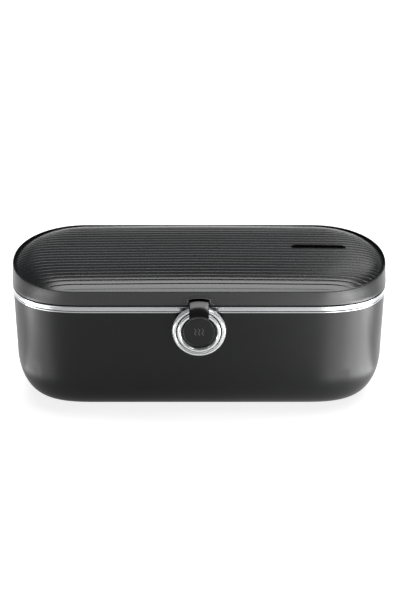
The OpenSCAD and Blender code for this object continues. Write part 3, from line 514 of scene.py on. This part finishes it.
# the grid's outer points in order, from which the sides drop to a flat underside
rim = (
    list(range(row)) + [r * row + COLS for r in range(1, last + 1)]
    + [last * row + c for c in range(COLS - 1, -1, -1)] + [r * row for r in range(last - 1, 0, -1)]
)
points = grid + [(grid[i][0], grid[i][1], PANEL_Z) for i in rim]
faces = [
    (r * row + c, r * row + c + 1, (r + 1) * row + c + 1, (r + 1) * row + c)
    for r in range(last) for c in range(COLS)
]
base, size = len(grid), len(rim)
faces += [(rim[i], rim[(i + 1) % size], base + (i + 1) % size, base + i) for i in range(size)]
faces.append(tuple(range(base + size - 1, base - 1, -1)))
panel = make("ribbed_panel", points, faces, 38)
cut(panel, upright("cut_vent", stadium(VENT_X, VENT_Y, VENT_L, VENT_W), 80, 100), 38)
finish_of(place(panel, "lid", "top_panel"), panel_black)
finish_of(dress("vent_insert", "vent_bezel", 0.2, 3), gloss_black)

# ---------------------------------------------------------------- ring, cup and button
profile = (
    arc(12.15, 3.9, 1.25, 1.9, 180, 10, 16)
    + [(13.42, 2.6), (13.7, 2.6)]
    + arc(15.1, 2.7, 1.4, 2.4, 170, 0, 18)
    + arc(15.7, 2.7, 0.8, 0.8, -20, -90, 6) + [(13.4, 1.9), (13.4, 1.2), (10.9, 1.2)]
)
ring = lathe("latch_ring", profile)
finish_of(place(ring, "base", "bezel_ring"), ring_metal)
# a black band laid in the ring's groove: painted shade, standing for the shade deep in the groove
groove = lathe("ring_groove_shade", arc(13.56, 2.7, 0.2, 0.8, 180, 0, 8))
finish_of(place(groove, "base"), cup_black)

profile = (
    [(2.6, -7.0), (4.6, -7.0), (4.6, -0.3), (11.3, -0.3), (11.35, 0.25), (13.4, 0.25), (13.4, 1.2)]
    + [(10.85, 1.2), (10.85, 2.9), (10.65, 3.1), (10.15, 3.1), (9.95, 2.9), (9.95, 0.8), (2.6, 0.8)]
)
cup = lathe("button_cup", profile)
finish_of(place(cup, "base", "button_housing"), cup_black)

profile = (
    [(0.001, 4.12), (3.0, 4.13), (6.0, 4.17), (8.3, 4.23), (8.9, 4.24)]
    + [(9.1, 4.14), (9.25, 4.14), (9.4, 4.3)]
    + arc(9.4, 3.95, 0.35, 0.35, 90, 0, 4) + [(9.75, 2.5), (2.5, 2.5), (2.5, -4.6), (0.001, -4.6)]
)
button = lathe("button_face", profile, 144, 40)
finish_of(place(button, "button", "push_button"), button_black)
# a thin light grey ring round the button's face: a painted highlight standing for the gleam on its rounded
# edge
edge = lathe("button_edge", arc(9.52, 4.28, 0.14, 0.12, 180, -180, 10)[:-1])
finish_of(place(edge, "button"), print_and_highlight_grey)
# three wavy heat lines on the button: spacing, swing, half wave, half width, height off the front, depth
MARK_PITCH, MARK_SWING, MARK_WAVE, MARK_HALF, MARK_OUT, MARK_DEPTH = 2.3, 0.42, 1.6, 0.26, 4.2, 0.15
for k in (-1, 0, 1):
    ups = [i * 0.2 - 2.4 for i in range(25)]
    centre = [(k * MARK_PITCH + MARK_SWING * math.sin(math.pi * up / MARK_WAVE), up) for up in ups]
    strip = [on_front(x - MARK_HALF, up, MARK_OUT) for x, up in centre]
    strip += [on_front(x + MARK_HALF, up, MARK_OUT) for x, up in centre[::-1]]
    mark = between("button_mark_%d" % (k + 2), strip, [(x, y + MARK_DEPTH, z) for x, y, z in strip])
    finish_of(place(mark, "button"), print_and_highlight_grey)

# ---------------------------------------------------------------- clasp
# the strap's section as (radius, out) points: up its inner side, round its nose and back along the outside
section = [
    (16.9, -1.0), (16.9, 2.6), (16.65, 3.5), (16.3, 4.4), (15.7, 5.25), (14.9, 5.9), (13.9, 6.35),
    (12.9, 6.6), (11.8, 6.75), (11.4, 6.9), (11.3, 7.3), (11.3, 7.9), (11.45, 8.2), (11.8, 8.3),
    (12.4, 8.18), (13.3, 7.75), (14.2, 7.15), (15.0, 6.5), (15.8, 5.65), (16.4, 4.85), (16.9, 4.1),
    (17.35, 3.3), (17.9, 2.3), (18.45, 1.3), (18.95, 0.4), (19.4, -0.3), (19.4, -1.0),
]
STRAP_HALF, STRAP_STEPS = 6, 24
xs = [-STRAP_HALF + 2 * STRAP_HALF * i / STRAP_STEPS for i in range(STRAP_STEPS + 1)]
points = [on_front(x, math.sqrt(r * r - x * x), out) for x in xs for r, out in section]
size = len(section)
faces = [
    (i * size + j, i * size + (j + 1) % size, (i + 1) * size + (j + 1) % size, (i + 1) * size + j)
    for i in range(STRAP_STEPS) for j in range(size)
]
faces += [tuple(range(size)), tuple(range((STRAP_STEPS + 1) * size - 1, STRAP_STEPS * size - 1, -1))]
tab = bevel(make("clasp_strap", points, faces, 50), 0.3, 3, 50)
finish_of(place(tab, "clasp", "clasp_tab"), tab_black)


def arch_ring(half, radius, out, low=76.9):
    """The arch at a distance in front of the front plane."""
    return [(x, FRONT_Y - out, z) for x, z in arch(half, radius, low)]


def tube(name, path, radius, segments=10):
    """Closed tube along points of the front plane, each with its own height off it."""
    rings = []
    for i, (x, out, z) in enumerate(path):
        before, after = path[max(0, i - 1)], path[min(len(path) - 1, i + 1)]
        along = Vector((after[0] - x, 0, after[2] - z)) + Vector((x - before[0], 0, z - before[2]))
        side = Vector((along.z, 0, -along.x)).normalized()
        turns = (2 * math.pi * k / segments for k in range(segments))
        around = [(radius * math.cos(t), radius * math.sin(t)) for t in turns]
        rings.append([(x + a * side.x, FRONT_Y - out - b, z + a * side.z) for a, b in around])
    return make(name, *capped(rings), 60)


pocket = make("clasp_pocket", *capped([arch_ring(10.0, 22.7, -3.6), arch_ring(10.0, 22.7, -0.02)]))
# the pocket is open below, so the cutter reaches under it
OPENING_LOW = 70
opening = [
    arch_ring(half, radius, out, OPENING_LOW)
    for half, radius, out in ((6.4, 20.75, 1), (6.4, 20.75, -0.02), (6.35, 20.1, -1.2), (6.35, 20.1, -2.8))
]
cut(pocket, make("cut_pocket", *capped(opening)))
finish_of(place(pocket, "lid", "clasp_housing"), lid_black)
# a thin bead round the pocket's arch: the bead is shaped, and its light grey colour is a painted highlight
# along it
path = [(x, 0.02, z) for x, z in arch(6.75, 21.15, 79.6)]
foot = [(9.6, -0.1, 77.5), (8.7, 0.0, 77.65), (7.8, 0.02, 78.0), (7.1, 0.02, 78.6)]
path = foot + path + [(-x, out, z) for x, out, z in foot[::-1]]
finish_of(place(tube("pocket_bead_highlight", path, 0.3), "lid"), print_and_highlight_grey)


# ---------------------------------------------------------------- pans, seen with the lid open
# how far a pan's wall leans in for each millimetre down, and how far in its skins reach before a flat cap
PAN_LEAN, PAN_MIDDLE = 0.02, 47


def pan(name, o_top, t, r, z, top, flange_o):
    """Pressed pan of thickness t with a flange, between the heights z and top.

    Its wall is o_top in from the body's outline at the top, and its lower corners have the radius r.
    """
    def edge(o, radius, low, steps=10):
        foot = o + PAN_LEAN * (top - low - radius)
        return [
            (foot + radius * (1 - sin), low + radius * (1 - cos))
            for sin, cos in turns_of(*(90 * i / steps for i in range(steps + 1)))
        ]

    inner = o_top + t
    prof = (
        [(PAN_MIDDLE, z)] + edge(o_top, r, z)
        + [(o_top, top), (flange_o, top), (flange_o, top + t)]
        + [(inner - 0.6, top + t), (inner - 0.1, top + t - 0.15), (inner, top + t - 0.7)]
        + edge(inner, r - t, z + t)[::-1] + [(PAN_MIDDLE, z + t)]
    )
    return make(name, *capped([body_ring(o, h, 60) for o, h in prof]))


liner = pan("heated_pan", 11.4, 1.0, 8, 30, 74.1, 3.2)
finish_of(place(liner, "base", "heated_liner"), liner_metal)
food = pan("food_pan", 13.3, 0.8, 7, 31.2, 75.2, 4.8)
finish_of(place(food, "base", "food_container"), pan_metal)

# ---------------------------------------------------------------- hinges, inlet and underside
finish_of(dress("hinge_brackets", "hinge_cheeks", 0.35), hinge_black)
finish_of(dress("hinge_arms", "hinge_knuckles", 0.35), hinge_black)
finish_of(dress("power_inlet", "inlet_socket", 0.3, 3), cover_black)
finish_of(dress("base_cover", "underside_cover", 0.3), cover_black)
finish_of(dress("rubber_feet", "foot_pads", 0.5, 3), rubber)
SCREWS = {
    "base_screws": "cover_screws", "bracket_screws": "cheek_screws",
    "arm_screws": "knuckle_screws", "lid_screws": "liner_screws",
}
for node, name in SCREWS.items():
    finish_of(dress(node, name), zinc)

# ---------------------------------------------------------------- studio
scene = bpy.context.scene
scene.view_settings.view_transform = "Standard"


def stage_material(name, grey, seen, mirrored):
    """Pale stage that glows to the camera and in gloss.

    seen and mirrored are each a centre, two distances from it, and the strengths at those distances; where
    mirrored is weaker near its centre, it paints shade into what reflections show.
    """
    color = (grey, grey, grey)
    mat, tree, bsdf = shader(name, color, 0.9, Specular_IOR_Level=0.0)
    tint(tree, bsdf, noise(tree, 3.0, 2.0), [c * 0.995 for c in color], color)

    def math_node(operation, *sources):
        node = tree.nodes.new("ShaderNodeMath")
        node.operation = operation
        for socket, source in zip(node.inputs, sources):
            tree.links.new(source, socket)
        return node.outputs[0]

    def by_distance(centre, start, end, near, far):
        coord = tree.nodes.new("ShaderNodeTexCoord")
        length = tree.nodes.new("ShaderNodeVectorMath")
        length.operation = "DISTANCE"
        length.inputs[1].default_value = (*centre, 0)
        node = tree.nodes.new("ShaderNodeMapRange")
        node.interpolation_type = "SMOOTHSTEP"
        node.inputs["From Min"].default_value, node.inputs["From Max"].default_value = start, end
        node.inputs["To Min"].default_value, node.inputs["To Max"].default_value = near, far
        tree.links.new(coord.outputs["Object"], length.inputs[0])
        tree.links.new(length.outputs["Value"], node.inputs["Value"])
        return node.outputs["Result"]

    path = tree.nodes.new("ShaderNodeLightPath").outputs
    gloss = math_node("MAXIMUM", path["Is Glossy Ray"], path["Is Transmission Ray"])
    in_view = math_node("MULTIPLY", path["Is Camera Ray"], by_distance(*seen))
    strength = math_node("ADD", in_view, math_node("MULTIPLY", gloss, by_distance(*mirrored)))
    bsdf.inputs["Emission Color"].default_value = (1, 1, 1, 1)
    tree.links.new(strength, bsdf.inputs["Emission Strength"])
    return mat


def stage_piece(name, rings, mat):
    """Part of the stage, which belongs to no body."""
    obj = loft(name, rings, False, 60)
    obj.data.materials.append(mat)


def circle(r, z, steps=96):
    """Ring of the stage about the origin."""
    turns = [2 * math.pi * i / steps for i in range(steps)]
    return [(r * math.cos(t), r * math.sin(t), z) for t in turns]


FLOOR_SEEN = ((0, 0), 0.2, 0.6, 0.84, 0.97)
# in reflections the floor glows dimmer round a point at the body's front left: a painted shadow of the
# object, seen only in gloss
FLOOR_MIRRORED_PAINTED_SHADOW = ((-0.13, -0.13), 0.1, 0.34, 0.45, 1.05)
WALL_SEEN = ((0, 0), 1, 2, 0.9, 0.9)
WALL_MIRRORED = ((0, 0), 1, 2, 0.3, 0.3)
FLOOR_R, COVE_R, WALL_TOP = 4600, 400, 1150
floor_rings = [circle(r, 0) for r in (0.5, 400, 1500, FLOOR_R)]
stage_piece("floor", floor_rings, stage_material("floor_pale", 0.5, FLOOR_SEEN, FLOOR_MIRRORED_PAINTED_SHADOW))
cove = [circle(FLOOR_R + COVE_R * sin, COVE_R - COVE_R * cos) for sin, cos in turns_of(*range(0, 91, 15))]
wall_pale = stage_material("backdrop_pale", 0.62, WALL_SEEN, WALL_MIRRORED)
stage_piece("backdrop", cove + [circle(FLOOR_R + COVE_R, WALL_TOP)], wall_pale)

world = bpy.data.worlds.new("studio")
scene.world = world
world.use_nodes = True
background = world.node_tree.nodes["Background"]
background.inputs["Color"].default_value = (0.95, 0.97, 1.0, 1)
background.inputs["Strength"].default_value = 0.12

# the low lamps stand on a curve round each end of the body: its middle, how far it bulges, its depth,
# how slowly it turns to the back, and the height of the lamps
END_X, END_BULGE, END_DEPTH, END_TURN, LOW_LAMP_Z = 0.095, 0.01, 0.045, 1.4, 0.003


def fan(azimuth, side, reach):
    """Place of a low lamp at an angle from the front, measured from one end of the body."""
    a = math.radians(azimuth)
    x = END_X + END_BULGE * math.sin(a) + reach * math.sin(a)
    y = -END_DEPTH * math.cos(a / END_TURN) - reach * math.cos(a)
    return (side * x, y, LOW_LAMP_Z)


def softbox(name, at, turn, size, power):
    """Area lamp of a size in metres at a place, turned about X and then Z."""
    data = bpy.data.lights.new(name, "AREA")
    data.shape = "RECTANGLE"
    data.size, data.size_y = size
    data.energy = power
    obj = bpy.data.objects.new(name, data)
    scene.collection.objects.link(obj)
    obj.location = at
    obj.rotation_euler = (math.radians(turn[0]), 0, math.radians(turn[1]))
    obj.visible_camera = False


softbox("overhead", (0.05, 0.40, 1.02), (22, 0), (1.0, 1.0), 15.5)
softbox("side", (0.6, -0.1, 0.9), (0, 34), (0.5, 0.5), 3)
softbox("back_right", (0.36, 0.78, 0.60), (57, 161), (0.36, 0.26), 0.45)
# low banks of lamps beside the object, which draw the soft bright ends of the body and the lid:
# side, azimuth, bank and power, where a bank is its distance from the end of the body and a lamp's size
NEAR = (0.085, (0.12, 0.05))
FAR = (0.235, (0.18, 0.11))
LOW_LAMPS = (
    (1, 18, NEAR, 0.07), (1, 43, NEAR, 0.14), (1, 68, NEAR, 0.14),
    (1, 22, FAR, 0.26), (1, 47, FAR, 0.8), (1, 74, FAR, 1.6),
    (-1, 48, NEAR, 0.04), (-1, 72, NEAR, 0.06), (-1, 100, NEAR, 0.01),
    (-1, 48, FAR, 0.22), (-1, 72, FAR, 1.3), (-1, 100, FAR, 0.08),
)
for side, azimuth, (reach, size), power in LOW_LAMPS:
    name = "low_%d_%d_%d" % (side, azimuth, reach * 1000)
    softbox(name, fan(azimuth, side, reach), (180, side * (azimuth - 90)), size, power)

# ---------------------------------------------------------------- camera at the photograph's view
# fitted to the rim, the trim and the outline; the focal length is in pixels of a frame 601 high
CAMERA_DISTANCE, FOCAL_LENGTH, PHOTO_HEIGHT = 0.95, 1472.8, 601
elevation = math.radians(25.87)
target = Vector((0.00086, 0.0, 0.0551))
back = Vector((0.0, -math.cos(elevation), math.sin(elevation)))
camera_data = bpy.data.cameras.new("camera")
camera_data.sensor_width = 36.0
camera_data.lens = camera_data.sensor_width * FOCAL_LENGTH / PHOTO_HEIGHT
camera_data.clip_start, camera_data.clip_end = 0.05, 50
camera = bpy.data.objects.new("camera", camera_data)
scene.collection.objects.link(camera)
camera.location = target + back * CAMERA_DISTANCE
camera.rotation_mode = "QUATERNION"
camera.rotation_quaternion = (-back).to_track_quat("-Z", "Y")
scene.camera = camera
